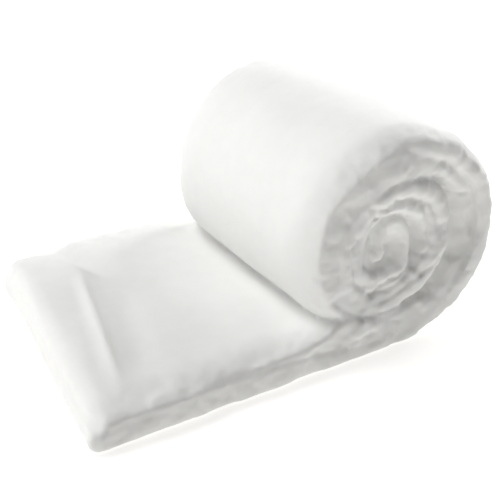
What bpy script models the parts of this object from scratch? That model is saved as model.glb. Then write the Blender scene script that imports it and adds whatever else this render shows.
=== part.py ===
"""Roll of polyester batting, partly unrolled.

One long batt of two thick plies. The plies join in a fold at the core, are wound together
into a drum, and come out under it as a loose end that lies flat on the surface. The batt is
laid out as a flat slab of stations (along its length) and rows (across its width), and every
point of the slab is then wound to its place.

+X runs from the loose end to the drum, +Y from the near face of the drum to the far one, and
+Z is up. The origin is the middle of the footprint, on the surface that the batt lies on.
"""

import math

import bmesh
import bpy
from mathutils import Vector

# Driving dimensions, in metres.
CORE_HEIGHT = 0.1225  # from the surface to the middle of the windings
BED_HEIGHT = 0.045  # both plies where the drum rests on them
LOOSE_HEIGHT = 0.047  # both plies in the open loose end, where nothing presses them
LOOSE_SHARE = 0.58  # share of that height that is the lower ply's
PLY_GAP = 0.0016  # between the two plies
TURNS = 2.85  # windings from under the drum to the fold at the core
NEAR_EDGE = -0.167  # the batt's near edge
FAR_EDGE_LOOSE = 0.168  # its far edge in the loose end, which has spread a little
FAR_EDGE_WOUND = 0.145  # its far edge in the drum
EDGE_POWER = 2.1  # roundness of the soft edges, where 2 is a quarter circle
FAR_ROUNDING = 0.6  # width of the rounding along the far edge, as a share of the near one's
PARTING_SHARE = 0.06  # how far the plies part from each other at the rim
SHOULDER_WIDTH = 0.060  # how far in from its faces the drum starts to narrow
END_ROUNDING = 0.018  # width of the rounding along the free ends
FAR_SET_BACK_SHARE = 0.5  # how far a rim sits back at the far face, as a share of the near one's

# The loose end opens out from under the drum, bulges on its far side, is crowned across its
# width, and sags towards its free end. A pair gives where a change starts and where it is
# complete, as a distance from the core.
OPENS_OUT = (0.075, 0.130)
WIDTH_CHANGES = (-0.10, 0.10)  # where the far edge draws in, from the loose end to the drum
FAR_BULGE = 0.008
BULGE_GROWS = (0.08, 0.16)
BULGE_FADES = (0.20, 0.30)
FREE_SAG = 0.004
SAG_GROWS = (0.22, 0.36)
CROWN = 0.003
CROWN_HALF_WIDTH = 0.17
FAR_RISE = 0.004
FAR_RISE_GROWS = (0.0, 0.12)  # measured across, from the middle of the batt
SLANT_AT = -0.3  # where along the loose end the slant of its free ends is measured

# The underside is flat, and its edges lift a little between the four corners that it rests on.
EDGE_LIFT = 0.001
FREE_CORNERS = (0.225, 0.245)  # distance from the core, towards the free end
DRUM_CORNERS = (-0.03, -0.02)  # distance past the core
SIDE_EDGES = (0.115, 0.150)  # distance from the middle of the batt
MIDDLE_OF_ENDS = (0.05, 0.09)  # the same
FREE_END_EDGE = (0.26, 0.29)  # distance from the core, towards the free end
DRUM_EDGE = (0.010, 0.022)  # distance past the core

# How far each ply's free end lies from the core, at the near and the far edge.
REACH = {
    "inner": {"near": 0.342, "far": 0.308},
    "outer": {"near": 0.345, "far": 0.311},
}

# In the tables below a row is one winding, from the surface and round by the back, the top
# and the front of the drum, with a column for each eighth of a turn:
# under, low back, back, high back, top, high front, front, low front.
# Lengths are in millimetres, and shares are in hundredths.
MM = 0.001
HUNDREDTH = 0.01

# Distance from the core to the outer side of each winding.
WINDINGS = (
    (122.5, 137, 142, 139, 127, 109, 101, 102),
    (76, 80, 84, 84, 77, 72, 70, 72),
    (37, 42, 29, 34, 43, 22, 15, 20),
    (18, 18, 18, 16, 14, 8, 3, 6),
)

# Open space between a winding and the next one in.
SLACK = (
    (1.6, 10, 10, 4, 2, 1.6, 1.6, 1.6),
    (2, 3, 13, 5, 2, 14, 17, 11),
    (2, 2, 2, 2, 2, 2, 2, 2),
)

# The outer ply's share of the band of both plies.
OUTER_SHARE = (
    (45, 48, 50, 55, 50, 44, 44, 42),
    (50, 52, 54, 47, 54, 50, 58, 51),
    (50, 50, 50, 50, 50, 50, 50, 50),
)

# How far a ply's rim sits back from the near face.
SET_BACK = {
    "outer": (
        (1, 1, 0, 0, 3, 8, 9, 5),
        (3, 2, 1, 1, 3, 6, 7, 7),
        (8, 8, 7, 6, 7, 8, 8, 9),
    ),
    "inner": (
        (1, 3, 13, 8, 3, 8, 9, 5),
        (5, 4, 3, 3, 5, 8, 8, 8),
        (9, 9, 9, 8, 8, 8, 8, 9),
    ),
}

# Width of the soft rounding along the near edge.
ROUNDING = {
    "outer": (
        (12, 12, 12, 18, 28, 36, 38, 30),
        (8, 12, 12, 12, 8, 6, 6, 6),
        (12, 12, 12, 12, 12, 12, 12, 12),
    ),
    "inner": (
        (22, 14, 12, 12, 9, 6, 6, 10),
        (12, 12, 12, 12, 11, 12, 12, 12),
        (12, 12, 12, 12, 12, 12, 12, 12),
    ),
}

# Share of a ply's thickness that is left at its rim.
RIM_SHARE = {
    "outer": (
        (86, 78, 70, 60, 45, 36, 34, 34),
        (80, 50, 42, 45, 76, 90, 90, 90),
        (45, 45, 45, 45, 50, 50, 45, 45),
    ),
    "inner": (
        (46, 60, 50, 55, 72, 90, 90, 90),
        (60, 60, 52, 55, 66, 60, 52, 56),
        (50, 50, 50, 50, 50, 50, 50, 50),
    ),
}

# How much the drum narrows at its faces.
SHOULDER = (0, 0, 0, 3, 8, 13, 13, 7)

# The main folds that show on top of the loose end: a straight ridge or trough from one point
# to another, its height (below zero for a trough) and its width, in metres.
FOLDS = (
    # x from, y from, x to, y to, height, width
    (-0.296, -0.088, -0.250, 0.080, 0.0040, 0.040),
    (-0.252, 0.165, -0.226, 0.080, -0.0060, 0.040),
    (-0.190, 0.060, -0.160, -0.090, -0.0025, 0.060),
)
FADE_OUTSIDE = 0.35  # how far past its ends a fold goes on, as a share of its length
FADE_INSIDE = 0.15  # how far inside its ends it starts to fade

# How finely the slab is divided.
EDGE_STEPS = (1.0, 0.88, 0.6, 0.0)  # places across a soft edge, from the rim inwards
MIDDLE_STEPS = (0.14, 0.38, 0.62, 0.86)
LOOSE_STATIONS = 17
WINDING_STATIONS = (32, 22, 16)  # in each winding
FOLD_STATIONS = 4
SMALL_TURN = 0.01  # less than the way from a station to the next, in windings
BEFORE_FOLD = 0.04  # from here to the core's fold the batt runs straight, in windings
UNDER_DRUM = 0.25  # the first winding rises from the surface in this share of a turn


def smooth(low, high, value):
    """0 below low, 1 above high, and a soft step between."""
    t = min(1.0, max(0.0, (value - low) / (high - low)))
    return t * t * (3 - 2 * t)


def blend(a, b, share):
    return a + (b - a) * share


def look_up(table, place):
    """A smooth curve (Catmull-Rom) through a table's eighths of a turn."""
    values = [value for row in table for value in row]
    last = len(values) - 1
    place = max(0.0, place) * len(table[0])
    i = min(int(place), last - 1)
    t = place - i
    a, b, c, d = (values[min(max(i + k, 0), last)] for k in (-1, 0, 1, 2))
    curve = c - a + t * (2 * a - 5 * b + 4 * c - d + t * (3 * (b - c) + d - a))
    return b + 0.5 * t * curve


def winding_point(turn, radius):
    """A point at the given distance from the core, turn windings in from under it."""
    angle = 2 * math.pi * turn - math.pi / 2
    return Vector((radius * math.cos(angle), 0, CORE_HEIGHT + radius * math.sin(angle)))


def outer_side(turn):
    """The outer side of the band of both plies."""
    point = winding_point(turn, look_up(WINDINGS, turn) * MM)
    if turn < UNDER_DRUM:
        point.z = max(point.z, 0.0)
    elif turn <= 1.0:  # the drum is flattened where it lies on the loose end
        point.z = max(point.z, BED_HEIGHT + PLY_GAP)
    return point


def inner_side(turn):
    """The inner side of the band, just off the next winding."""
    return winding_point(turn, (look_up(WINDINGS, turn + 1) + look_up(SLACK, turn)) * MM)


def fold_height(x, y):
    """What the main folds add to the top of the loose end at a point."""
    height = 0.0
    for x_from, y_from, x_to, y_to, rise, width in FOLDS:
        along = Vector((x_to - x_from, y_to - y_from))
        point = Vector((x - x_from, y - y_from))
        share = point.dot(along) / along.length_squared
        away = abs(point.cross(along)) / along.length
        starts = smooth(-FADE_OUTSIDE, FADE_INSIDE, share)
        stops = smooth(1 - FADE_INSIDE, 1 + FADE_OUTSIDE, share)
        height += rise * starts * (1 - stops) * math.exp(-((2 * away / width) ** 2))
    return height


def loose_top(x, y):
    """Height of the loose end's top over the surface."""
    sag = FREE_SAG * smooth(*SAG_GROWS, -x)
    crown = CROWN * math.cos(math.pi * min(1.0, abs(y) / CROWN_HALF_WIDTH))
    crown += FAR_RISE * smooth(*FAR_RISE_GROWS, y)
    loose = LOOSE_HEIGHT - sag + crown + fold_height(x, y)
    return blend(BED_HEIGHT, loose, smooth(*OPENS_OUT, -x))


def edge_lift(x, y):
    """How far the underside is off the surface at a point, along the batt's edges."""
    away = abs(y)
    corners = smooth(*FREE_CORNERS, -x) + smooth(*DRUM_CORNERS, x)
    sides = smooth(*SIDE_EDGES, away) * (1 - corners)
    ends = smooth(*FREE_END_EDGE, -x) + smooth(*DRUM_EDGE, x)
    return EDGE_LIFT * max(sides, ends * (1 - smooth(*MIDDLE_OF_ENDS, away)))


def ply_sides(ply, place, y):
    """(bare side, parting side) of one ply: the parting side faces the other ply. place is x
    in the loose end, and below zero there. In the drum it is the number of windings."""
    if place < 0:
        outer = Vector((place, 0, 0))
        inner = Vector((place, 0, loose_top(place, y)))
    else:
        outer = outer_side(place)
        inner = inner_side(place)
    share = look_up(OUTER_SHARE, place) * HUNDREDTH
    share = blend(share, LOOSE_SHARE, smooth(0.0, OPENS_OUT[1], -place))
    across = inner - outer
    half_gap = 0.5 * PLY_GAP / across.length
    if ply == "outer":
        return outer, outer + across * (share - half_gap)
    return inner, outer + across * (share + half_gap)


def stations():
    """The slab's stations: (ply, kind, value), from the inner ply's free end, in to the fold
    at the core, and out again along the outer ply."""
    inwards = [("end", t) for t in EDGE_STEPS]
    inwards += [("loose", step / LOOSE_STATIONS) for step in range(1, LOOSE_STATIONS)]
    for winding, count in enumerate(WINDING_STATIONS):
        turns = [winding + step / count for step in range(count)]
        inwards += [("wound", turn) for turn in turns if turn < TURNS - SMALL_TURN]
    inwards.append(("wound", TURNS))
    line = [("inner", kind, value) for kind, value in inwards]
    for step in range(1, FOLD_STATIONS):
        line.append(("fold", "fold", math.pi * step / FOLD_STATIONS))
    line += [("outer", kind, value) for kind, value in reversed(inwards)]
    return line


def rows():
    """The slab's rows, from the near edge to the far one: (side, value)."""
    near = [("near", t) for t in EDGE_STEPS]
    middle = [("middle", share) for share in MIDDLE_STEPS]
    far = [("far", t) for t in reversed(EDGE_STEPS)]
    return near + middle + far


def row_place(ply, place, row, edge_t):
    """y of a row at a place along a ply."""
    tables = "inner" if ply == "fold" else ply
    wound = smooth(*WIDTH_CHANGES, place)
    set_back = look_up(SET_BACK[tables], place) * MM
    rounding = look_up(ROUNDING[tables], place) * MM
    bulge = FAR_BULGE * smooth(*BULGE_GROWS, -place) * (1 - smooth(*BULGE_FADES, -place))
    near = NEAR_EDGE + set_back
    far = blend(FAR_EDGE_LOOSE + bulge, FAR_EDGE_WOUND, wound)
    far -= FAR_SET_BACK_SHARE * wound * set_back
    side, value = row
    if side == "near":
        return near + rounding * (1 - edge_t)
    if side == "far":
        return far - FAR_ROUNDING * rounding * (1 - edge_t)
    return blend(near + rounding, far - FAR_ROUNDING * rounding, value)


def slab_point(station, row):
    """(bare side, parting side) of the slab at one station and row, wound to its place."""
    ply, kind, value = station
    edge_t = 0.0 if row[0] == "middle" else row[1]
    end_t = value if kind == "end" else 0.0
    rim_t = max(edge_t, end_t)
    if edge_t and end_t:  # a corner of the batt is round in plan
        squeeze = rim_t / math.hypot(edge_t, end_t)
        edge_t, end_t = edge_t * squeeze, end_t * squeeze

    if kind == "wound":
        place = value
    elif kind == "fold":
        place = TURNS
    else:
        rough_y = row_place(ply, SLANT_AT, row, edge_t)
        share = (rough_y - NEAR_EDGE) / (FAR_EDGE_LOOSE - NEAR_EDGE)
        reach = blend(REACH[ply]["near"], REACH[ply]["far"], share)
        from_end = END_ROUNDING * (1 - end_t)
        if kind == "loose":
            from_end = blend(END_ROUNDING, reach, value)
        place = from_end - reach
    y = row_place(ply, place, row, edge_t)

    if kind == "fold":
        bare_in, parting_in = ply_sides("inner", TURNS, y)
        bare_out, parting_out = ply_sides("outer", TURNS, y)
        ahead = (inner_side(TURNS) - inner_side(TURNS - BEFORE_FOLD)).normalized()
        bare = turned(bare_in, bare_out, ahead, value)
        parting = turned(parting_in, parting_out, ahead, value)
    else:
        bare, parting = ply_sides(ply, place, y)

    tables = "inner" if ply == "fold" else ply
    rim_share = look_up(RIM_SHARE[tables], place) * HUNDREDTH
    roundness = (1 - rim_t**EDGE_POWER) ** (1 / EDGE_POWER)
    thick = bare - parting
    bare = parting + thick * blend(rim_share, 1.0, roundness)
    parting = parting + thick * PARTING_SHARE * rim_t**2
    kept = kept_share(place, y)
    for point in (bare, parting):
        point.x *= kept
        point.z = CORE_HEIGHT + (point.z - CORE_HEIGHT) * kept
        point.y = y
    if ply == "outer":
        bare.z = max(bare.z, edge_lift(bare.x, y))
    return bare, parting


def kept_share(place, y):
    """How much of its size the drum keeps, this near to one of its faces."""
    if place < 0:
        return 1.0
    from_face = min(y - NEAR_EDGE, FAR_EDGE_WOUND - y)
    share = max(0.0, 1 - from_face / SHOULDER_WIDTH)
    narrowing = look_up((SHOULDER, SHOULDER), place % 1.0) * MM * share**2
    return 1 - narrowing / CORE_HEIGHT


def turned(start, end, ahead, angle):
    """A point on the half turn from start to end that bulges ahead."""
    middle, half = (start + end) / 2, (start - end) / 2
    return middle + half * math.cos(angle) + ahead * half.length * math.sin(angle)


def add_side(mesh, points):
    """A grid of faces through rows of points. Returns its vertices."""
    grid = [[mesh.verts.new(point) for point in line] for line in points]
    for a, b in zip(grid, grid[1:]):
        for k in range(len(a) - 1):
            mesh.faces.new((a[k], a[k + 1], b[k + 1], b[k]))
    return grid


def outline(grid):
    """The grid's outer vertices, in order round it."""
    return (
        grid[0]
        + [line[-1] for line in grid[1:-1]]
        + grid[-1][::-1]
        + [line[0] for line in grid[-2:0:-1]]
    )


def build_batt():
    """The batt as one closed mesh: its bare side, its parting side and the rim between."""
    pairs = [[slab_point(station, row) for row in rows()] for station in stations()]
    mesh = bmesh.new()
    bare = add_side(mesh, [[pair[0] for pair in line] for line in pairs])
    parting = add_side(mesh, [[pair[1] for pair in line] for line in pairs])
    rim_a, rim_b = outline(bare), outline(parting)
    for k in range(len(rim_a)):
        mesh.faces.new((rim_a[k - 1], rim_a[k], rim_b[k], rim_b[k - 1]))
    bmesh.ops.recalc_face_normals(mesh, faces=mesh.faces)
    centre_on_surface(mesh)
    data = bpy.data.meshes.new("batting_roll")
    mesh.to_mesh(data)
    mesh.free()
    data.shade_smooth()
    return data


def centre_on_surface(mesh):
    """Moves the middle of the footprint to the origin."""
    for axis in (0, 1):
        values = [vertex.co[axis] for vertex in mesh.verts]
        middle = (min(values) + max(values)) / 2
        for vertex in mesh.verts:
            vertex.co[axis] -= middle


def batting_material():
    """White polyester fibre: matt, and slightly warm."""
    material = bpy.data.materials.new("polyester_fibre")
    material.use_nodes = True
    shader = material.node_tree.nodes["Principled BSDF"]
    shader.inputs["Base Color"].default_value = (0.91, 0.91, 0.90, 1)
    shader.inputs["Roughness"].default_value = 0.95
    shader.inputs["Metallic"].default_value = 0.0
    return material


def main():
    """Removes what the scene holds, and puts the batt in it."""
    for old in list(bpy.data.objects):
        bpy.data.objects.remove(old)
    batt = bpy.data.objects.new("batting_roll", build_batt())
    batt.data.materials.append(batting_material())
    bpy.context.scene.collection.objects.link(batt)


main()
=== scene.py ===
"""Roll of polyester batting, partly unrolled, on a pale studio floor.

The batt is one long strip of two thick plies. The plies join in a fold at the core, are wound
together into a drum, and come out under it as a loose end that lies flat. The batt is laid out
as a slab of stations (along its length) and rows (round its section), and every point of the
slab is wound to its place. Layers that press on each other then grow together, as wadding does,
and the creases, puffs and wrinkles are pressed in.
"""

import math

import bpy
import numpy as np
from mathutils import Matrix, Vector


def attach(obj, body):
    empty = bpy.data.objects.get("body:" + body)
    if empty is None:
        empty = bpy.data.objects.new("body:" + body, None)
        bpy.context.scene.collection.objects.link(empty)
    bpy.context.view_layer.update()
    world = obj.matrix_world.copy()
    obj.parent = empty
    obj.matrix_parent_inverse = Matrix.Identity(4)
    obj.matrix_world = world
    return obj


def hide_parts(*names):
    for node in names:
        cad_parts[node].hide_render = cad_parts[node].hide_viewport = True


bl_info = {
    "name": "Batting Roll",
    "version": (1, 0, 0),
    "blender": (4, 5, 0),
    "location": "View3D > Sidebar > Batting",
    "description": "Makes a partly unrolled roll of polyester batting and its stage",
    "category": "Object",
}

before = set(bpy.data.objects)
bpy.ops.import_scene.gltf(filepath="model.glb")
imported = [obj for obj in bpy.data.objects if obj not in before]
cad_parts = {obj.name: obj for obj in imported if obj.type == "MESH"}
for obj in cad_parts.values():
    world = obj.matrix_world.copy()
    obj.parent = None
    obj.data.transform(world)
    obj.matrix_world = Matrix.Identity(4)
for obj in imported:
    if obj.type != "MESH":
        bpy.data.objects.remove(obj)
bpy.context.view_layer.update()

NODE = "batting_roll"
BODY = "root"
BATT = "soft_batt"

# Where the tables' own origin, under the core and at the middle of the batt, is in the frame.
CORE_AT = np.array((0.1009, -0.0045))

# Sizes of the batt, in metres. A pair says where a change starts and where it is complete.
CORE_HEIGHT = 0.1225
BED_HEIGHT = 0.045  # of both plies under the drum
LOOSE_HEIGHT = 0.047  # of both plies where they come out from under it
LOOSE_SHARE = 0.58  # of that height, the lower ply's
PLY_GAP = 0.0004
TURNS = 2.85
NEAR_EDGE = -0.167
FAR_EDGE_LOOSE = 0.168
FAR_EDGE_WOUND = 0.145
EDGE_POWER = 1.6  # 2 rounds an edge as a circle does, and less makes it flatter
FAR_ROUNDING = 0.6  # of the near edge's rounding
FAR_SET_BACK_SHARE = 0.5  # of the near rim's set-back
END_ROUNDING = 0.018
SHOULDER_WIDTH = 0.060  # of the zone in which the drum narrows towards its faces
OPENS_OUT = (0.075, 0.130)  # from under the drum to the free loose end
WIDTH_CHANGES = (-0.10, 0.10)  # from the loose end's width to the drum's, as a place
FAR_BULGE = 0.008  # of the loose end's far edge, out from under the drum
BULGE_GROWS = (0.08, 0.16)
BULGE_FADES = (0.20, 0.30)
FREE_SAG = 0.004  # of the loose end towards its free ends
SAG_GROWS = (0.22, 0.36)
CROWN = 0.003  # of the loose end in the middle of its width
CROWN_HALF_WIDTH = 0.17
SWELL = 0.008  # of the loose end where the drum's near face squeezes it
SWELL_AT = -0.050
SWELL_WIDTH = 0.030
SWELL_DEPTH = (0.015, 0.080)
FAR_RISE = 0.008  # of the loose end towards its far edge
FAR_RISE_GROWS = (0.0, 0.12)
SLANT_AT = -0.3  # where the slant of the free ends is worked out
BEFORE_FOLD = 0.04  # of a winding, to find which way the plies look where they fold
CORE_SHUTS = (1.0, 0.8)  # windings before the fold, over which the hollow in the core closes
UNDER_DRUM = 0.25  # of a winding: the outer ply lies on the surface so far
OPEN_BEFORE = 0.010  # how far in from the drum's faces the slack is fully open
OPEN_DEPTH = 0.008  # over which it then closes
REACH = {"inner": (0.342, 0.308), "outer": (0.345, 0.311)}  # of each free end, near and far
TINY = 1e-9  # keeps a length that is divided by off nought

# In these tables a row is one winding, with a column for each eighth of a turn: under, low
# back, back, high back, top, high front, front, low front. Lengths are in millimetres, and
# shares are in hundredths.
MM = 0.001
HUNDREDTH = 0.01
EIGHTHS = 8
# How far the outer side of each winding is from the core.
WINDINGS = (
    (122.5, 137, 142, 139, 127, 109, 101, 102),
    (76, 80, 84, 84, 77, 72, 70, 72),
    (37, 42, 29, 34, 43, 22, 15, 20),
    (18, 18, 18, 16, 14, 8, 3, 6),
)
# The open gap between a winding and the next one in.
SLACK = (
    (0.4, 10, 10, 3, 1, 0.4, 0.4, 0.4),
    (1, 2, 16, 5, 0, 14, 17, 11),
    (1, 1, 1, 1, 1, 1, 1, 1),
)
# How much of a winding's thickness is its outer ply.
OUTER_SHARE = (
    (45, 48, 50, 57, 50, 44, 44, 42),
    (50, 52, 54, 47, 54, 50, 58, 51),
    (50, 50, 50, 50, 50, 50, 50, 50),
)
# How far each ply's rim stands back from the near edge.
SET_BACK = {
    "outer": (
        (1, 1, 0, 0, 4, 10, 12, 5),
        (3, 2, 1, 1, 3, 6, 8, 7),
        (8, 8, 7, 6, 7, 8, 8, 9),
    ),
    "inner": (
        (1, 3, 12, 6, 3, 9, 11, 6),
        (5, 4, 3, 3, 5, 8, 8, 8),
        (9, 9, 9, 8, 8, 8, 8, 9),
    ),
}
# How far in from its rim each ply's rounding starts.
ROUNDING = {
    "outer": (
        (12, 12, 12, 18, 28, 36, 38, 24),
        (8, 12, 12, 10, 5, 4, 4, 6),
        (12, 12, 12, 12, 12, 12, 12, 12),
    ),
    "inner": (
        (8, 10, 12, 12, 5, 5, 5, 8),
        (12, 12, 12, 12, 11, 12, 12, 12),
        (12, 12, 12, 12, 12, 12, 12, 12),
    ),
}
# How thick each ply still is at its rim.
RIM_SHARE = {
    "outer": (
        (86, 78, 70, 60, 45, 36, 34, 34),
        (90, 50, 42, 55, 98, 98, 98, 98),
        (45, 45, 45, 45, 50, 50, 45, 45),
    ),
    "inner": (
        (92, 70, 50, 55, 98, 98, 98, 98),
        (60, 60, 52, 55, 66, 60, 52, 56),
        (50, 50, 50, 50, 50, 50, 50, 50),
    ),
}
# How far the crease between the two plies opens at the rim, as a share of a ply's thickness.
CREASE = (
    (1, 0, 0, 8, 2, 0, 0, 0),
    (2, 0, 14, 18, 10, 0, 14, 14),
    (0, 0, 0, 0, 0, 0, 0, 0),
)
LOOSE_ROUNDING = 0.038  # of the loose end's near top edge, which the drum presses square
LOOSE_RIM_SHARE = 0.32
PRESSED_SQUARE = (0.06, 0.14)  # how far from the core the drum presses on that edge
CREASE_POWER = 5  # how near to the rim the crease starts to open
OPEN_CREASE = 12  # the share at which a rim stands out in full
SHUT_BULGE = 0.15  # how much of that it stands out where the crease is shut
LOOSE_CREASE = 0.45  # how open the crease is along the loose end
# How much the drum narrows at its faces, in millimetres, for the same eighths of a turn.
SHOULDER = (0, 0, 0, 3, 8, 13, 13, 7)

# Folds on top of the loose end, in the tables' frame: a straight ridge or trough from one
# point to another, its height (below zero for a trough) and its width, in millimetres.
FOLDS = (
    # x from, y from, x to, y to, height, width
    (-296, -88, -250, 80, 4.0, 40),
    (-252, 165, -226, 80, -6.0, 40),
    (-190, 60, -160, -90, -2.5, 60),
    (-291, -97, -259, 49, 2.5, 9),
    (-303, -92, -272, 45, -2.0, 16),
    (-250, 151, -233, 76, -3.5, 14),
    (-265, -108, -232, 4, -2.2, 34),
    (-323, 29, -305, 111, 2.0, 12),
)
# Creases and hollows pressed into the drum's near face, and puffs where the depth is below
# zero: the depth, the width, and the points that each runs through, as (across, up) from the
# core, all in millimetres.
FACE_CREASES = (
    (1.0, 4, ((-3, -11), (9, -18), (24, -29))),
    (2.5, 5, ((-15, -29), (-10, -43), (-18, -52))),
    (2.0, 4, ((-31, 54), (-8, 47))),
    (3.0, 4, ((-24, 38), (-6, 40))),
    (2.0, 4, ((-40, 21), (-47, 15))),
    (2.5, 5, ((65, -24), (58, -35), (44, -42))),
    (4.0, 9, ((50, -72), (64, -74), (67, -64))),
    (2.0, 4, ((-9, -62), (6, -60), (23, -53))),
    (1.5, 5, ((5, -87), (19, -92))),
    (4.0, 4, ((55, 67), (66, 56))),
    (2.0, 6, ((-4, 75), (-21, 64))),
    (1.5, 9, ((4, 112), (23, 102), (46, 92), (64, 86), (90, 68), (99, 55))),
    (4.0, 11, ((37, 22), (39, 2), (36, -16))),
    (3.5, 6, ((-20, 40), (-23, 33), (-22, 14))),
    (2.5, 7, ((-26, 10), (-31, -2), (-31, -13), (-18, -25))),
    (2.0, 7, ((-2, 16), (-2, -11))),
    (1.5, 6, ((50, 5), (48, 20), (41, 36), (34, 46))),
    (-1.5, 14, ((-22, 62), (8, 70), (32, 62))),
    (3.0, 16, ((93, 30), (97, 8), (99, -15), (94, -34))),
    (-2.0, 7, ((102, 42), (107, 21), (108, 1), (115, -18))),
    (2.0, 12, ((114, 38), (119, 14), (122, -17))),
    (-3.0, 16, ((60, 77), (76, 61), (92, 49))),
    (3.5, 5, ((76, 45), (100, 38))),
    (3.0, 4, ((51, 83), (56, 70))),
    (3.0, 5, ((47, -20), (54, -11), (51, 0), (48, 20), (40, 38), (34, 48), (16, 55), (0, 57))),
    (2.0, 5, ((47, -20), (26, -40), (0, -50), (-30, -48), (-52, -22))),
    (-2.5, 11, ((-10, 42), (10, 44), (28, 34))),
    (-2.5, 11, ((-16, -32), (2, -37), (26, -31))),
    (1.5, 5, ((-69, -44), (-57, -57), (-37, -71), (-20, -74))),
    (1.5, 5, ((-37, -71), (-3, -82), (19, -79))),
    (1.2, 6, ((-95, -91), (-75, -88), (-55, -99), (-32, -94), (-13, -94))),
    (1.5, 6, ((-339, -78), (-284, -84), (-213, -90), (-104, -94), (-48, -104), (-12, -107))),
    (2.5, 4, ((-48, 15), (-49, -2), (-45, -27), (-31, -41), (-19, -53))),
)
FACE_DEPTH = (0.015, 0.035)  # how far in from the face these fade out
# A fold fades at its ends, from outside them to inside them, as shares of its length.
FADE_OUTSIDE = 0.35
FADE_INSIDE = 0.15

# The uneven lie of wadding: lumps of a size and a height, in metres, and their seed.
FACE_LUMPS = (0.034, 0.0025, 10)
FACE_RUMPLES = (0.013, 0.0012, 20)
BATT_LUMPS = (0.060, 0.0016, 30)
RUMPLED_DEPTH = 0.030  # how far in from the faces the first two fade
LOOSE_FROM = (0.09, 0.15)
LOOSE_CALM = 0.4  # how much lower the last are on the loose end
OFF_FLOOR = (0.0, 0.020)  # heights over which the points come free of the surface

# The fine wrinkles: their sizes, coarse and fine, their height and their seed.
STREAK_SIZES = (0.026, 0.012)
STREAK_HEIGHT = 0.0009
STREAK_SEED = 40
STREAK_RADIUS = 0.075  # the distance from the core at which their width is measured
STREAK_SQUEEZE = (3.4, 0.5)  # how much shorter they are round the core, and in from the face
STREAKS_FROM = (0.020, 0.045)
ROUGH_SIZES = (0.009, 0.0045)
ROUGH_HEIGHT = 0.0009
ROUGH_SEED = 50
FINE_SHARE = 0.5  # how high the fine ones are beside the coarse ones
FINE_SEED = 3  # added to the seed for the fine ones
SKIN = (0.030, 56)  # the size and the seed of the smooth skin's lumps
SKIN_HEIGHT = 0.0004
WRINKLED_DEPTH = 0.022  # how far in from the faces the streaks and the rough lie fade
WRINKLES_OFF_FLOOR = (0.0, 0.012)
KNOTS = 32  # of the lumps in each direction, before they repeat

# How often the mesh is smoothed after the layers grow together, and after the creases.
FELT_SMOOTHING = 2
CREASE_SMOOTHING = 1
SMOOTHING = 0.5

# The web of fibre. Its relief is in metres, and its scales are in lumps a metre.
CURL_SCALE = 90.0
CURL = 0.012  # how far the fibres wander sideways
FIBRE_TURNS = ((0.3, 0.2, 0.35), (1.2, 0.4, -0.45), (0.2, 1.3, 1.35), (0.9, -0.7, 2.35))
ALONG_FIBRE = 0.07  # how much slower the web changes along a fibre than across it
WEB_SCALE = 60.0
WEB_SHARE = 0.5  # of the tone and the relief, with the strands' share the same
RELIEF = 0.0006

# The stage. Each light has its place and its width, and all of them look at one point.
FLOOR_SIZE = 16.0
FLOOR_DROP = 0.0004  # keeps the floor clear of the underside
FLOOR_GLOW = 0.70  # keeps the floor white under the batt
FLOOR_GLOW_COLOUR = (1.0, 0.985, 0.96)
LIGHTS = {
    "key": ((-1.5, 1.55, 4.1), 2.4),
    "fill": ((-3.6, 0.9, 1.1), 2.0),
    "front": ((-1.6, -3.2, 2.0), 2.6),
    "rim": ((2.4, 0.3, 1.1), 1.4),
}
LIT_AT = (0.0, 0.0, 0.1)
CAMERA_AT = (-0.4805, -0.8257, 0.577)
CAMERA_LOOKS = (0.4665, 0.75242, -0.4652)

# How finely the slab is divided: rows across the near edge's rounding, the zone behind it, the
# middle, and the far edge's rounding; then stations in the free end, the loose end, each
# winding and the fold at the core; then strips across a rim.
EDGE_ROWS = 10
FRONT_ROWS = 11
FRONT_ZONE = 0.22  # as a share of the width between the roundings
MIDDLE_ROWS = 13
FAR_ROWS = 6
END_STATIONS = 9
LOOSE_STATIONS = 150
WINDING_STATIONS = (230, 144, 60)
FOLD_STATIONS = 10
RIM_STRIPS = 4
RIM_BULGE = 0.10  # how far a rim stands out, as a share of its own height


def smooth(low, high, value):
    """0 below low, 1 above high, and a soft step between."""
    t = np.clip((value - low) / (high - low), 0.0, 1.0)
    return t * t * (3 - 2 * t)


def blend(a, b, share):
    """From a, where share is 0, to b, where it is 1."""
    return a + (b - a) * share


def look_up(table, place):
    """A smooth curve (Catmull-Rom) through a table's eighths of a turn."""
    values = np.array(table, dtype=float).ravel()
    last = len(values) - 1
    place = np.clip(place, 0.0, None) * EIGHTHS
    i = np.minimum(place.astype(int), last - 1)
    t = place - i
    a, b, c, d = (values[np.clip(i + k, 0, last)] for k in (-1, 0, 1, 2))
    curve = c - a + t * (2 * a - 5 * b + 4 * c - d + t * (3 * (b - c) + d - a))
    return b + 0.5 * t * curve


def for_ply(tables, is_outer, place):
    """A table's value for each point, from the outer ply's table or the inner ply's."""
    return np.where(is_outer, look_up(tables["outer"], place), look_up(tables["inner"], place))


def cloud(points, size, seed):
    """Soft seeded lumps in space from -1 to 1, of the given size: one number for each point."""
    knots = np.random.default_rng(seed).uniform(-1, 1, (KNOTS, KNOTS, KNOTS))
    at = points / size
    cell = np.floor(at).astype(int)
    share = smooth(0, 1, at - cell)
    total = 0.0
    for corner in np.ndindex(2, 2, 2):
        near = np.where(corner, share, 1 - share).prod(axis=-1)
        i, j, k = np.moveaxis((cell + corner) % KNOTS, -1, 0)
        total = total + near * knots[i, j, k]
    return total


def push(points, size, height, seed):
    """Moves in space, up to about the given height, that change over the given size."""
    moves = [cloud(points, size, seed + axis) for axis in range(3)]
    return height * np.stack(moves, axis=-1)


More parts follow.
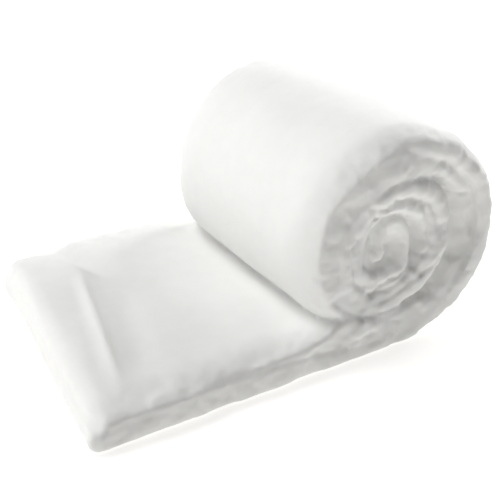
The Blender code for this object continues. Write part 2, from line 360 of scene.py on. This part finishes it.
def winding_point(turn, radius):
    """(x, z) at the given distance from the core, turn windings in from under it."""
    angle = 2 * np.pi * turn - np.pi / 2
    return np.stack((radius * np.cos(angle), CORE_HEIGHT + radius * np.sin(angle)), axis=-1)


def outer_side(turn):
    """The outer side of the band of both plies."""
    point = winding_point(turn, look_up(WINDINGS, turn) * MM)
    lowest = np.where(turn < UNDER_DRUM, 0.0, np.where(turn <= 1.0, BED_HEIGHT + PLY_GAP, -1.0))
    point[..., 1] = np.maximum(point[..., 1], lowest)
    return point


def inner_side(turn, opened=1.0):
    """The inner side of the band, off the next winding by the slack. The slack is open at the
    drum's faces, and closes further in, as the hollow in the fold at the core does."""
    in_core = smooth(TURNS - CORE_SHUTS[0], TURNS - CORE_SHUTS[1], turn)
    kept = blend(1.0, opened, in_core)
    radius = look_up(WINDINGS, turn + 1) * kept + look_up(SLACK, turn) * opened
    return winding_point(turn, radius * MM)


def fold_height(x, y):
    """What the folds add to the top of the loose end at a point."""
    height = np.zeros(np.broadcast(x, y).shape)
    for x_from, y_from, x_to, y_to, rise, width in FOLDS:
        start = np.array((x_from, y_from)) * MM
        along = np.array((x_to, y_to)) * MM - start
        long = np.hypot(*along)
        share = ((x - start[0]) * along[0] + (y - start[1]) * along[1]) / long**2
        away = np.abs((x - start[0]) * along[1] - (y - start[1]) * along[0]) / long
        starts = smooth(-FADE_OUTSIDE, FADE_INSIDE, share)
        stops = smooth(1 - FADE_INSIDE, 1 + FADE_OUTSIDE, share)
        height += rise * MM * starts * (1 - stops) * np.exp(-((2 * away / (width * MM)) ** 2))
    return height


def loose_top(x, y):
    """Height of the loose end's top over the surface."""
    sag = FREE_SAG * smooth(*SAG_GROWS, -x)
    crown = CROWN * np.cos(np.pi * np.minimum(1.0, np.abs(y) / CROWN_HALF_WIDTH))
    crown = crown + FAR_RISE * smooth(*FAR_RISE_GROWS, y)
    loose = LOOSE_HEIGHT - sag + crown + fold_height(x, y)
    swell = SWELL * np.exp(-(((x - SWELL_AT) / SWELL_WIDTH) ** 2))
    swell = swell * (1 - smooth(*SWELL_DEPTH, y - NEAR_EDGE))
    return blend(BED_HEIGHT, loose, smooth(*OPENS_OUT, -x)) + swell


def ply_sides(is_outer, place, y):
    """(bare side, parting side) of a ply as (x, z): the parting side faces the other ply. place
    is x in the loose end, and below zero there. In the drum it is the number of windings."""
    loose = (place < 0)[..., None]
    turn = np.maximum(place, 0.0)
    flat = np.stack((place, np.zeros_like(place)), axis=-1)
    top = np.stack((place, loose_top(place, y)), axis=-1)
    from_face = np.minimum(y - NEAR_EDGE, FAR_EDGE_WOUND - y)
    opened = np.exp(-((np.maximum(from_face - OPEN_BEFORE, 0.0) / OPEN_DEPTH) ** 2))
    outer = np.where(loose, flat, outer_side(turn))
    inner = np.where(loose, top, inner_side(turn, opened))
    share = look_up(OUTER_SHARE, place) * HUNDREDTH
    share = blend(share, LOOSE_SHARE, smooth(0.0, OPENS_OUT[1], -place))
    across = inner - outer
    half_gap = 0.5 * PLY_GAP / np.linalg.norm(across, axis=-1)
    cut = share + np.where(is_outer, -half_gap, half_gap)
    return np.where(is_outer[..., None], outer, inner), outer + across * cut[..., None]


def stations():
    """The slab's stations from the inner ply's free end, in to the fold at the core and out
    again along the outer ply, as three arrays: whether it is the outer ply's, the kind (end,
    loose, wound or fold) and the value."""
    inwards = [("end", math.cos(math.pi / 2 * k / END_STATIONS)) for k in range(END_STATIONS)]
    inwards += [("loose", k / LOOSE_STATIONS) for k in range(LOOSE_STATIONS)]
    for winding, count in enumerate(WINDING_STATIONS):
        turns = [winding + k / count for k in range(count)]
        inwards += [("wound", turn) for turn in turns if turn < TURNS - 0.5 / count]
    inwards.append(("wound", TURNS))
    fold = [("fold", math.pi * k / FOLD_STATIONS) for k in range(1, FOLD_STATIONS)]
    line = [(False, *s) for s in inwards] + [(False, *s) for s in fold]
    line += [(True, *s) for s in reversed(inwards)]
    is_outer, kind, value = zip(*line)
    return np.array(is_outer)[:, None], np.array(kind)[:, None], np.array(value)[:, None]


def rows():
    """The slab's rows from the near edge to the far one: how far each is towards the near rim,
    how far towards the far rim, and its share of the width between."""
    quarter = math.pi / 2
    near = [(math.cos(quarter * k / EDGE_ROWS), 0.0, 0.0) for k in range(EDGE_ROWS)]
    front = [(0.0, 0.0, FRONT_ZONE * k / FRONT_ROWS) for k in range(FRONT_ROWS)]
    middle = [(0.0, 0.0, blend(FRONT_ZONE, 1.0, k / MIDDLE_ROWS)) for k in range(MIDDLE_ROWS)]
    far = [(0.0, math.sin(quarter * k / FAR_ROWS), 1.0) for k in range(FAR_ROWS + 1)]
    return (np.array(column)[None, :] for column in zip(*near, *front, *middle, *far))


def soft_top(is_outer, place):
    """1 on the upper ply where it lies free of the drum, and 0 in the drum and under it."""
    return np.where(is_outer, 0.0, smooth(*PRESSED_SQUARE, -place))


def row_place(is_outer, place, near_t, far_t, share):
    """y of each row at a place along a ply."""
    wound = smooth(*WIDTH_CHANGES, place)
    set_back = for_ply(SET_BACK, is_outer, place) * MM
    rounding = for_ply(ROUNDING, is_outer, place) * MM
    rounding = blend(rounding, LOOSE_ROUNDING, soft_top(is_outer, place))
    bulge = FAR_BULGE * smooth(*BULGE_GROWS, -place) * (1 - smooth(*BULGE_FADES, -place))
    near = NEAR_EDGE + set_back + rounding
    far = blend(FAR_EDGE_LOOSE + bulge, FAR_EDGE_WOUND, wound)
    far = far - FAR_SET_BACK_SHARE * wound * set_back - FAR_ROUNDING * rounding
    return blend(near, far, share) - rounding * near_t + FAR_ROUNDING * rounding * far_t


def kept_share(place, y):
    """How much of its size the drum keeps, this near to one of its faces."""
    from_face = np.minimum(y - NEAR_EDGE, FAR_EDGE_WOUND - y)
    share = np.maximum(0.0, 1 - from_face / SHOULDER_WIDTH)
    narrowing = look_up((SHOULDER, SHOULDER), np.maximum(place, 0.0) % 1.0) * MM * share**2
    return np.where(place < 0, 1.0, 1 - narrowing / CORE_HEIGHT)


def wound_slab():
    """(bare side, parting side, rim direction, place) of the slab. The first two are grids of
    points, stations by rows, the third says which way each point's rim looks in plan, and the
    last says how far along its ply each point is."""
    is_outer, kind, value = stations()
    near_t, far_t, share = rows()
    end_t = np.where(kind == "end", value, 0.0)
    edge_t = np.maximum(near_t, far_t)
    rim_t = np.maximum(edge_t, end_t)
    squeeze = rim_t / np.maximum(np.hypot(edge_t, end_t), TINY)
    squeeze = np.where((edge_t > 0) & (end_t > 0), squeeze, 1.0)
    near_t, far_t, end_t = near_t * squeeze, far_t * squeeze, end_t * squeeze

    at_slant = np.full(near_t.shape, SLANT_AT)
    rough_y = row_place(is_outer, at_slant, near_t, far_t, share)
    across = (rough_y - NEAR_EDGE) / (FAR_EDGE_LOOSE - NEAR_EDGE)
    near_reach, far_reach = (
        np.where(is_outer, REACH["outer"][k], REACH["inner"][k]) for k in (0, 1)
    )
    reach = blend(near_reach, far_reach, across)
    from_end = END_ROUNDING * (1 - end_t)
    from_end = np.where(kind == "loose", blend(END_ROUNDING, reach, value), from_end)
    place = np.where(kind == "wound", value, from_end - reach)
    place = np.where(kind == "fold", TURNS, place)
    y = row_place(is_outer, place, near_t, far_t, share)
    bare, parting = ply_sides(np.broadcast_to(is_outer, place.shape), place, y)

    fold = np.broadcast_to(kind == "fold", place.shape)
    no, yes = np.zeros_like(fold), np.ones_like(fold)
    inner_pair, outer_pair = ply_sides(no, place, y), ply_sides(yes, place, y)
    ahead = inner_side(np.array(TURNS)) - inner_side(np.array(TURNS - BEFORE_FOLD))
    ahead = ahead / np.linalg.norm(ahead)
    turned = []
    for start, end in zip(inner_pair, outer_pair):
        middle, half = (start + end) / 2, (start - end) / 2
        round_it = ahead * np.linalg.norm(half, axis=-1)[..., None] * np.sin(value)[..., None]
        turned.append(middle + half * np.cos(value)[..., None] + round_it)
    bare = np.where(fold[..., None], turned[0], bare)
    parting = np.where(fold[..., None], turned[1], parting)

    rim_share = for_ply(RIM_SHARE, is_outer, place) * HUNDREDTH
    rim_share = blend(rim_share, LOOSE_RIM_SHARE, soft_top(is_outer, place))
    roundness = (1 - rim_t**EDGE_POWER) ** (1 / EDGE_POWER)
    thick = bare - parting
    bare = parting + thick * blend(rim_share, 1.0, roundness)[..., None]
    crease = look_up(CREASE, place) * HUNDREDTH * rim_t**CREASE_POWER
    parting = parting + thick * crease[..., None]

    kept = kept_share(place, y)[..., None]
    core = np.array((0.0, CORE_HEIGHT))
    sides = []
    for side in (bare, parting):
        side = core + (side - core) * kept
        sides.append(np.stack((side[..., 0], y, side[..., 1]), axis=-1))
    looks = np.stack((-end_t + 0 * y, far_t - near_t + 0 * y, 0 * y), axis=-1)
    looks /= np.maximum(np.linalg.norm(looks, axis=-1), TINY)[..., None]
    return sides[0], sides[1], looks, place


def rim_lines(bare, parting, looks, bulges=RIM_BULGE):
    """The lines of points across a rim from its bare edge to its parting edge, without them."""
    high = np.linalg.norm(bare - parting, axis=-1)[..., None]
    lines = []
    for k in range(1, RIM_STRIPS):
        t = k / RIM_STRIPS
        bulge = bulges * high * 4 * t * (1 - t)
        lines.append(blend(bare, parting, t) + looks * bulge)
    return lines


def rumpled(points):
    """The points with the uneven lie of real wadding: the drum's faces and the batt's edges are
    the most uneven, and what touches the surface stays on it."""
    y, z = points[:, 1], points[:, 2]
    from_face = np.minimum(y - NEAR_EDGE, FAR_EDGE_WOUND - y)
    face = np.exp(-((np.maximum(from_face, 0.0) / RUMPLED_DEPTH) ** 2))[:, None]
    loose = smooth(*LOOSE_FROM, -points[:, 0])[:, None]
    moves = push(points, *FACE_LUMPS) * face + push(points, *FACE_RUMPLES) * face
    moves += push(points, *BATT_LUMPS) * (1 - LOOSE_CALM * loose)
    moves[:, 2] *= smooth(*OFF_FLOOR, z)
    return points + moves


def line_distance(x, z, line):
    """How far each point is from a line through the given points."""
    nearest = np.full(x.shape, np.inf)
    for (x0, z0), (x1, z1) in zip(line, line[1:]):
        share = ((x - x0) * (x1 - x0) + (z - z0) * (z1 - z0)) / ((x1 - x0) ** 2 + (z1 - z0) ** 2)
        share = np.clip(share, 0.0, 1.0)
        nearest = np.minimum(nearest, np.hypot(x - blend(x0, x1, share), z - blend(z0, z1, share)))
    return nearest


def pressed(points, _):
    """The points with the near face's own creases, hollows and puffs pressed in."""
    x, y, z = (points - (*CORE_AT, CORE_HEIGHT)).T
    depth = np.zeros_like(x)
    for deep, width, line in FACE_CREASES:
        away = line_distance(x / MM, z / MM, line)
        depth += deep * MM * np.exp(-((2 * away / width) ** 2))
    near = 1 - smooth(*FACE_DEPTH, y - NEAR_EDGE)
    points = points.copy()
    points[:, 1] += depth * near
    return points


def two_sizes(points, sizes, seed):
    """Coarse lumps with finer and lower ones on them."""
    coarse, fine = sizes
    return cloud(points, coarse, seed) + FINE_SHARE * cloud(points, fine, seed + FINE_SEED)


def wrinkled(points, normals):
    """The points with fine wrinkles pressed into them: streaks that run out from the core on the
    drum's faces, a rough lie along the batt's edges, and hardly anything on the smooth skin."""
    x, y, z = (points - (*CORE_AT, CORE_HEIGHT)).T
    from_face = np.maximum(np.minimum(y - NEAR_EDGE, FAR_EDGE_WOUND - y), 0.0)
    face = np.exp(-((from_face / WRINKLED_DEPTH) ** 2))
    radius = np.hypot(x, z)
    round_core = np.arctan2(x, -z) * STREAK_RADIUS * STREAK_SQUEEZE[0]
    radial = np.stack((round_core, radius, y * STREAK_SQUEEZE[1]), axis=-1)
    streaks = two_sizes(radial, STREAK_SIZES, STREAK_SEED) * smooth(*STREAKS_FROM, radius)
    rough = two_sizes(points, ROUGH_SIZES, ROUGH_SEED)
    height = face * (STREAK_HEIGHT * streaks + ROUGH_HEIGHT * rough)
    height += SKIN_HEIGHT * cloud(points, *SKIN) * (1 - face)
    height *= smooth(*WRINKLES_OFF_FLOOR, points[:, 2])
    return points + normals * height[:, None]


def reshaped(piece, move):
    """Moves all points of a piece by a function of their places and normals."""
    count = len(piece.data.vertices)
    places, normals = np.empty(count * 3), np.empty(count * 3)
    piece.data.vertices.foreach_get("co", places)
    piece.data.vertices.foreach_get("normal", normals)
    moved = move(places.reshape(count, 3), normals.reshape(count, 3))
    piece.data.vertices.foreach_set("co", moved.ravel())
    piece.data.update()


def batt_mesh():
    """The batt as one closed mesh of loops of points, one loop for each station, with a cap at
    either free end."""
    bare, parting, looks, place = wound_slab()
    opened = np.minimum(look_up(CREASE, place) / OPEN_CREASE, 1.0)
    opened = np.where(place < 0, LOOSE_CREASE, opened)
    bulges = (RIM_BULGE * blend(SHUT_BULGE, 1.0, opened))[..., None]
    far = rim_lines(bare[:, -1], parting[:, -1], looks[:, -1], bulges[:, -1])
    near = rim_lines(parting[:, 0], bare[:, 0], looks[:, 0], bulges[:, 0])
    far, near = ([line[:, None] for line in lines] for lines in (far, near))
    loops = np.concatenate([bare, *far, parting[:, ::-1], *near], axis=1)
    count, size = loops.shape[:2]
    width = bare.shape[1]

    number = np.arange(count * size).reshape(count, size)
    ahead = np.roll(number, -1, axis=1)
    quads = [np.stack((number[:-1], number[1:], ahead[1:], ahead[:-1]), axis=-1).reshape(-1, 4)]
    points = [loops.reshape(-1, 3)]
    total = count * size
    for station, flip in ((0, False), (count - 1, True)):
        inside = rim_lines(bare[station], parting[station], looks[station])
        columns = np.arange(width)
        lines = [number[station, columns]]
        far_rim = number[station, width : width + RIM_STRIPS - 1]
        near_rim = number[station, size - RIM_STRIPS + 1 :][::-1]
        for k, line in enumerate(inside):
            new = total + np.arange(width - 2)
            total += width - 2
            points.append(line[1:-1])
            lines.append(np.concatenate(([near_rim[k]], new, [far_rim[k]])))
        lines.append(number[station, width + RIM_STRIPS - 1 : 2 * width + RIM_STRIPS - 1][::-1])
        for a, b in zip(lines, lines[1:]):
            quad = np.stack((a[:-1], a[1:], b[1:], b[:-1]), axis=-1)
            quads.append(quad[:, ::-1] if flip else quad)
    points = rumpled(np.concatenate(points))
    points[:, :2] += CORE_AT
    quads = np.concatenate(quads)
    mesh = bpy.data.meshes.new(BATT)
    mesh.from_pydata(points.tolist(), [], quads.tolist())
    mesh.validate()
    return mesh


def clear_selection():
    """Deselects everything, so that an operator acts on one piece alone."""
    bpy.ops.object.select_all(action="DESELECT")


def apply(piece, kind, **settings):
    """Puts one modifier on a piece and applies it."""
    clear_selection()
    bpy.context.view_layer.objects.active = piece
    piece.select_set(True)
    modifier = piece.modifiers.new(kind.title(), kind)
    for name, value in settings.items():
        setattr(modifier, name, value)
    bpy.ops.object.modifier_apply(modifier=modifier.name)


def felted(piece, detail):
    """Lets layers that press on each other grow together into one soft mass, as wadding does,
    so that only the creases at their edges and the open gaps are left."""
    apply(piece, "REMESH", mode="VOXEL", voxel_size=detail, adaptivity=0.0)
    apply(piece, "SMOOTH", factor=SMOOTHING, iterations=FELT_SMOOTHING)


def add_piece(name, mesh, material):
    """A new object that rides on the part's body and has the given material."""
    piece = bpy.data.objects.new(name, mesh)
    bpy.context.scene.collection.objects.link(piece)
    mesh.materials.append(material)
    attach(piece, BODY)
    return piece


def node(tree, kind, **settings):
    """Adds a node, and sets its properties and, by name, its inputs."""
    made = tree.nodes.new(kind)
    for name, value in settings.items():
        if name in made.inputs:
            made.inputs[name].default_value = value
        else:
            setattr(made, name, value)
    return made


def noise(tree, vector, **settings):
    """Adds a noise in space that is read at the given vector."""
    made = node(tree, "ShaderNodeTexNoise", noise_dimensions="3D", **settings)
    tree.links.new(vector, made.inputs["Vector"])
    return made


def tangle_group():
    """Node group: crosslaid fibres at the places that Map gives. Strands is the fine relief, and
    Cloud the thicker and thinner places of the web."""
    group = bpy.data.node_groups.new("crosslaid_fibres", "ShaderNodeTree")
    sockets = group.interface
    sockets.new_socket("Map", in_out="INPUT", socket_type="NodeSocketVector")
    sockets.new_socket("Strand Width", in_out="INPUT", socket_type="NodeSocketFloat")
    sockets.new_socket("Strands", in_out="OUTPUT", socket_type="NodeSocketFloat")
    sockets.new_socket("Cloud", in_out="OUTPUT", socket_type="NodeSocketFloat")
    start = node(group, "NodeGroupInput")
    end = node(group, "NodeGroupOutput")
    place = start.outputs["Map"]
    links = group.links

    curl = noise(group, place, Scale=CURL_SCALE, Detail=1.0)
    centred = node(group, "ShaderNodeVectorMath", operation="MULTIPLY_ADD")
    centred.inputs[1].default_value = (CURL, CURL, CURL)
    centred.inputs[2].default_value = (-CURL / 2, -CURL / 2, -CURL / 2)
    links.new(curl.outputs["Color"], centred.inputs[0])
    curled = node(group, "ShaderNodeVectorMath", operation="ADD")
    links.new(place, curled.inputs[0])
    links.new(centred.outputs["Vector"], curled.inputs[1])
    per_width = node(group, "ShaderNodeMath", operation="DIVIDE")
    per_width.inputs[0].default_value = 1.0
    links.new(start.outputs["Strand Width"], per_width.inputs[1])

    total = None
    for angle in FIBRE_TURNS:
        turned = node(group, "ShaderNodeMapping", Rotation=angle)
        links.new(curled.outputs["Vector"], turned.inputs["Vector"])
        thin = node(group, "ShaderNodeVectorMath", operation="MULTIPLY")
        thin.inputs[1].default_value = (ALONG_FIBRE, 1.0, 1.0)
        links.new(turned.outputs["Vector"], thin.inputs[0])
        strands = noise(group, thin.outputs["Vector"], Detail=2.0)
        links.new(per_width.outputs["Value"], strands.inputs["Scale"])
        if total is None:
            total = strands.outputs["Fac"]
            continue
        more = node(group, "ShaderNodeMath", operation="MAXIMUM")
        links.new(total, more.inputs[0])
        links.new(strands.outputs["Fac"], more.inputs[1])
        total = more.outputs["Value"]
    links.new(total, end.inputs["Strands"])

    web = noise(group, place, Scale=WEB_SCALE, Detail=4.0, Roughness=0.55)
    links.new(web.outputs["Fac"], end.inputs["Cloud"])
    return group


def fibre_material(name, settings, group):
    """White polyester fibre, soft and matt: light sinks in a little, and the web's strands and
    clouds show in its tone and its relief."""
    material = bpy.data.materials.new(name)
    material.use_nodes = True
    tree = material.node_tree
    shader = tree.nodes["Principled BSDF"]
    shader.inputs["Roughness"].default_value = 0.95
    shader.inputs["Specular IOR Level"].default_value = 0.15
    shader.inputs["Sheen Weight"].default_value = 0.15
    shader.inputs["Sheen Roughness"].default_value = 0.6
    shader.inputs["Subsurface Weight"].default_value = 0.35
    shader.inputs["Subsurface Radius"].default_value = (1.0, 0.97, 0.90)
    shader.inputs["Subsurface Scale"].default_value = 0.006
    place = node(tree, "ShaderNodeTexCoord")
    tangle = node(tree, "ShaderNodeGroup")
    tangle.node_tree = group
    tangle.inputs["Strand Width"].default_value = settings.strand_width
    tree.links.new(place.outputs["Object"], tangle.inputs["Map"])

    strands = node(tree, "ShaderNodeMath", operation="MULTIPLY")
    strands.inputs[1].default_value = 1 - WEB_SHARE
    tree.links.new(tangle.outputs["Strands"], strands.inputs[0])
    tone = node(tree, "ShaderNodeMath", operation="MULTIPLY_ADD")
    tone.inputs[1].default_value = WEB_SHARE
    tree.links.new(tangle.outputs["Cloud"], tone.inputs[0])
    tree.links.new(strands.outputs["Value"], tone.inputs[2])
    mix = node(tree, "ShaderNodeMix", data_type="RGBA")
    mix.inputs["A"].default_value = (*settings.shade_colour, 1.0)
    mix.inputs["B"].default_value = (*settings.fibre_colour, 1.0)
    tree.links.new(tone.outputs["Value"], mix.inputs["Factor"])
    tree.links.new(mix.outputs["Result"], shader.inputs["Base Color"])

    bump = node(tree, "ShaderNodeBump", Strength=1.0, Distance=RELIEF)
    tree.links.new(tone.outputs["Value"], bump.inputs["Height"])
    tree.links.new(bump.outputs["Normal"], shader.inputs["Normal"])
    return material


def looking(direction):
    """The rotation of a light or a camera that looks the given way."""
    return Vector(direction).to_track_quat("-Z", "Y").to_euler()


def add_light(name, power):
    """A large square light that looks at the batt."""
    place, size = LIGHTS[name]
    data = bpy.data.lights.new(name, "AREA")
    data.size = size
    data.energy = power
    light = bpy.data.objects.new(name, data)
    light.location = place
    light.rotation_euler = looking(Vector(LIT_AT) - Vector(place))
    bpy.context.scene.collection.objects.link(light)


class BattingSettings(bpy.types.PropertyGroup):
    """Sizes and colours of the batt."""

    fibre_colour: bpy.props.FloatVectorProperty(
        name="Fibre colour",
        description="Colour of the fibre where the web is thick",
        default=(0.90, 0.90, 0.885),
        min=0.0,
        max=1.0,
        size=3,
        subtype="COLOR",
    )
    shade_colour: bpy.props.FloatVectorProperty(
        name="Thin web's colour",
        description="Colour of the fibre where the web is thin",
        default=(0.80, 0.80, 0.785),
        min=0.0,
        max=1.0,
        size=3,
        subtype="COLOR",
    )
    detail: bpy.props.FloatProperty(
        name="Detail",
        description="Size of the batt's finest faces",
        default=0.00265,
        min=0.0005,
        max=0.01,
        unit="LENGTH",
    )
    strand_width: bpy.props.FloatProperty(
        name="Strand width",
        description="Width of the strands of fibre that show on the surface",
        default=0.0009,
        min=0.0001,
        max=0.01,
        unit="LENGTH",
    )


class StageSettings(bpy.types.PropertyGroup):
    """The floor, the lights and the camera."""

    floor_colour: bpy.props.FloatVectorProperty(
        name="Floor colour",
        description="Colour of the floor",
        default=(0.50, 0.50, 0.50),
        min=0.0,
        max=1.0,
        size=3,
        subtype="COLOR",
    )
    key_power: bpy.props.FloatProperty(
        name="Key light",
        description="Power of the large soft light over the batt",
        default=168.0,
        min=0.0,
        unit="POWER",
    )
    fill_power: bpy.props.FloatProperty(
        name="Fill light",
        description="Power of the soft light from the loose end's side",
        default=36.0,
        min=0.0,
        unit="POWER",
    )
    front_power: bpy.props.FloatProperty(
        name="Front light",
        description="Power of the soft light in front of the drum's near face",
        default=12.0,
        min=0.0,
        unit="POWER",
    )
    rim_power: bpy.props.FloatProperty(
        name="Rim light",
        description="Power of the soft light behind the drum",
        default=60.0,
        min=0.0,
        unit="POWER",
    )
    sky: bpy.props.FloatProperty(
        name="Sky",
        description="Strength of the even white light from all round",
        default=0.03,
        min=0.0,
    )
    lens: bpy.props.FloatProperty(
        name="Lens",
        description="The camera's focal length, in millimetres",
        default=67.8,
        min=10.0,
    )


class BATTING_OT_batt(bpy.types.Operator):
    """Make the soft batt, wound and laid out"""

    bl_idname = "batting.batt"
    bl_label = "Make the batt"

    def execute(self, context):
        settings = context.scene.batting
        material = fibre_material("batting_fibre", settings, tangle_group())
        piece = add_piece(BATT, batt_mesh(), material)
        felted(piece, settings.detail)
        reshaped(piece, pressed)
        apply(piece, "SMOOTH", factor=SMOOTHING, iterations=CREASE_SMOOTHING)
        reshaped(piece, wrinkled)
        piece.data.shade_smooth()
        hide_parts(NODE)
        return {"FINISHED"}


class BATTING_OT_stage(bpy.types.Operator):
    """Set the floor, the lights and the camera"""

    bl_idname = "batting.stage"
    bl_label = "Set the stage"

    def execute(self, context):
        settings = context.scene.batting_stage
        clear_selection()
        bpy.ops.mesh.primitive_plane_add(size=FLOOR_SIZE, location=(0.0, 0.0, -FLOOR_DROP))
        floor = context.object
        floor.name = "studio_floor"
        material = bpy.data.materials.new("pale_floor")
        material.use_nodes = True
        shader = material.node_tree.nodes["Principled BSDF"]
        shader.inputs["Base Color"].default_value = (*settings.floor_colour, 1.0)
        shader.inputs["Roughness"].default_value = 1.0
        shader.inputs["Specular IOR Level"].default_value = 0.0
        shader.inputs["Emission Color"].default_value = (*FLOOR_GLOW_COLOUR, 1.0)
        shader.inputs["Emission Strength"].default_value = FLOOR_GLOW
        floor.data.materials.append(material)

        world = bpy.data.worlds.new("white_room")
        world.use_nodes = True
        room = world.node_tree.nodes["Background"]
        room.inputs["Color"].default_value = (1.0, 1.0, 1.0, 1.0)
        seen = node(world.node_tree, "ShaderNodeLightPath")
        strength = node(world.node_tree, "ShaderNodeMath", operation="MAXIMUM")
        strength.inputs[1].default_value = settings.sky
        world.node_tree.links.new(seen.outputs["Is Camera Ray"], strength.inputs[0])
        world.node_tree.links.new(strength.outputs["Value"], room.inputs["Strength"])
        context.scene.world = world
        add_light("key", settings.key_power)
        add_light("fill", settings.fill_power)
        add_light("front", settings.front_power)
        add_light("rim", settings.rim_power)

        camera = bpy.data.objects.new("camera", bpy.data.cameras.new("camera"))
        context.scene.collection.objects.link(camera)
        camera.data.lens = settings.lens
        camera.location = CAMERA_AT
        camera.rotation_euler = looking(CAMERA_LOOKS)
        context.scene.camera = camera
        context.scene.view_settings.view_transform = "Standard"
        return {"FINISHED"}


class BATTING_PT_roll(bpy.types.Panel):
    """The batt's sizes, its colours and its stage"""

    bl_idname = "BATTING_PT_roll"
    bl_label = "Batting Roll"
    bl_space_type = "VIEW_3D"
    bl_region_type = "UI"
    bl_category = "Batting"

    def draw(self, context):
        for settings, operator in (
            (context.scene.batting, BATTING_OT_batt),
            (context.scene.batting_stage, BATTING_OT_stage),
        ):
            box = self.layout.box()
            for name in settings.__annotations__:
                box.prop(settings, name)
            box.operator(operator.bl_idname)


CLASSES = (BattingSettings, StageSettings, BATTING_OT_batt, BATTING_OT_stage, BATTING_PT_roll)


def register():
    for kind in CLASSES:
        bpy.utils.register_class(kind)
    bpy.types.Scene.batting = bpy.props.PointerProperty(type=BattingSettings)
    bpy.types.Scene.batting_stage = bpy.props.PointerProperty(type=StageSettings)


def unregister():
    del bpy.types.Scene.batting_stage
    del bpy.types.Scene.batting
    for kind in reversed(CLASSES):
        bpy.utils.unregister_class(kind)


def main():
    """Makes everything."""
    register()
    bpy.ops.batting.batt()
    bpy.ops.batting.stage()


if __name__ == "__main__":
    main()
